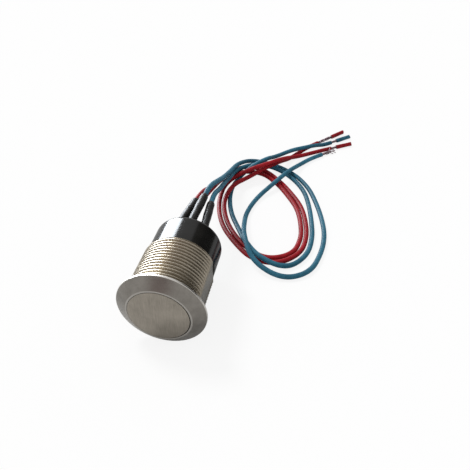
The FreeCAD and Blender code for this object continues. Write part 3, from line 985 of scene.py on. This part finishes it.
def make_spring():
    """Coil spring between cap and guide plate."""
    first = CAP_BACK + SPRING_WIRE_RADIUS + SPRING_ROOM
    last = SPRING_SEAT - SPRING_WIRE_RADIUS
    steps = SPRING_TURNS * SPRING_STEPS_PER_TURN
    path = []
    for step in range(steps + 1):
        share = step / steps
        rise = share - SPRING_END_CLOSING * math.sin(math.tau * share) / math.tau
        y = first + (last - first) * rise
        path.append(about_axis(SPRING_RADIUS, math.tau * SPRING_TURNS * share, y))
    spring = mesh_piece("coil_spring", *tube(path, SPRING_WIRE_RADIUS, SPRING_SIDES), 50)
    settle(spring, "spring_steel", ["return_spring"])
    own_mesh(spring)


make_spring()


# Resin on the base

def resin_height(x, z):
    """Height of the resin over the base's rear face, with a meniscus up each terminal."""
    from_rim = RIM_AT - math.hypot(x, z)
    rim = RIM_RISE * math.exp(-(from_rim / RIM_WIDTH) ** 2)
    climb = 0.0
    for angle in PIN_ANGLES.values():
        pin = about_axis(PIN_CIRCLE, math.radians(angle), 0.0)
        gap = math.hypot(x - pin.x, z - pin.z)
        climb += MENISCUS * math.exp(-max(gap - MENISCUS_AT, 0.0) / MENISCUS)
    wave = 0.00003 * math.sin(x * 1300 + 1.0) * math.cos(z * 1100)
    return RESIN_HEIGHT + rim + climb + wave


def make_resin():
    """Cast resin that seals the terminals on the base's rear, with its underside in the base."""
    points = []
    for ring in range(1, RESIN_RINGS + 1):
        for angle in ring_angles(RESIN_COLUMNS):
            place = about_axis(RESIN_RADIUS * ring / RESIN_RINGS, angle, BASE_REAR)
            place.y += resin_height(place.x, place.z) if ring < RESIN_RINGS else -RESIN_DEPTH
            points.append(place)
    middle = len(points)
    points.append((0.0, BASE_REAR + resin_height(0.0, 0.0), 0.0))
    faces = ring_faces(RESIN_RINGS, RESIN_COLUMNS)
    for column in range(RESIN_COLUMNS):
        faces.append((middle, (column + 1) % RESIN_COLUMNS, column))
    faces.append(tuple(range(middle - RESIN_COLUMNS, middle)))
    settle(mesh_piece("potting_resin", points, faces, 40), "resin")


make_resin()


# Floor, world and lamps

def make_floor():
    """Plain pale floor that the flange's rim and the leads lie on. It keeps a faint shadow."""
    half = 3.0
    corners = [(-half, -half, FLOOR), (half, -half, FLOOR), (half, half, FLOOR), (-half, half, FLOOR)]
    floor = mesh_piece("floor", corners, [(0, 1, 2, 3)])
    paper = bpy.data.materials.new("pale_paper")
    tree = Tree(paper)
    surface = tree.named("Principled BSDF")
    plain = {"Base Color": (0.93, 0.93, 0.93, 1.0), "Roughness": 0.9, "Specular IOR Level": 0.0}
    tree.feed(surface, plain)
    lift = tree.node("ShaderNodeEmission")
    seen = tree.node("ShaderNodeLightPath").out("Is Camera Ray")
    shares = {0: seen * FLOOR_WHITE, 1: surface.out(), 2: lift.out()}
    blend = tree.node("ShaderNodeMixShader", None, shares)
    tree.feed(tree.named("Material Output"), {"Surface": blend.out()})
    floor.data.materials.append(paper)


def make_world():
    """White to the camera and in reflections, and a soft light on the object."""
    world = bpy.data.worlds.new("studio")
    bpy.context.scene.world = world
    tree = Tree(world)
    path = tree.node("ShaderNodeLightPath")
    direct = path.out("Is Camera Ray") + path.out("Is Glossy Ray") + path.out("Is Transmission Ray")
    strength = direct.between(0.0, 1.0) * (1.0 - SOFT_LIGHT) + SOFT_LIGHT
    tree.feed(tree.named("Background"), {"Color": (1.0, 1.0, 1.0, 1.0), "Strength": strength})


def window_lamp(name, place, target, size, power, tint):
    """Soft square lamp that shows in gloss and polished metal and leaves matt surfaces alone."""
    data = bpy.data.lights.new(name, "AREA")
    data.color = tint
    data.size = size
    data.energy = power
    lamp = link(name, data)
    lamp.location = place
    lamp.rotation_euler = (Vector(target) - Vector(place)).to_track_quat("-Z", "Y").to_euler()
    lamp.visible_diffuse = False


def sun_lamp(name, direction, strength, spread):
    """Distant lamp that shines along a direction."""
    data = bpy.data.lights.new(name, "SUN")
    data.energy = strength
    data.angle = math.radians(spread)
    link(name, data).rotation_euler = Vector(direction).to_track_quat("-Z", "Y").to_euler()


def reflector_card(name, place, target, size, shade):
    """Studio card that only reflections see, so that polished metal has something to mirror."""
    middle = Vector(place)
    side, up = across((Vector(target) - middle).normalized())
    half = size / 2
    corners = []
    for left, down in ((-1, -1), (1, -1), (1, 1), (-1, 1)):
        corners.append(middle + (side * left + up * down) * half)
    card = mesh_piece(name, corners, [(0, 1, 2, 3)])
    paper = bpy.data.materials.new(name)
    tree = Tree(paper)
    glow = tree.node("ShaderNodeEmission", None, {"Color": (*shade, 1.0)})
    tree.feed(tree.named("Material Output"), {"Surface": glow.out()})
    card.data.materials.append(paper)
    card.visible_camera = False
    card.visible_diffuse = False
    card.visible_shadow = False


make_floor()
make_world()
sun_lamp("key", direction=(0.55, -0.35, -0.85), strength=1.6, spread=18)
window_lamp(
    "left_window", place=(-0.48, 0.47, 0.22), target=(0.0, 0.014, 0.0),
    size=0.44, power=20.0, tint=(0.88, 0.94, 1.0),
)
reflector_card(
    "right_card", place=(0.46, 0.40, 0.20), target=(0.0, 0.01, 0.0),
    size=0.62, shade=(0.10, 0.09, 0.075),
)
reflector_card(
    "low_flag", place=(0.13, 0.075, 0.03), target=(0.0, 0.015, 0.0),
    size=0.15, shade=(0.02, 0.02, 0.018),
)
reflector_card(
    "front_card", place=(-0.12, -0.60, 0.22), target=(0.0, 0.0, 0.0),
    size=0.36, shade=(0.36, 0.24, 0.24),
)

bpy.context.scene.view_settings.view_transform = "Standard"
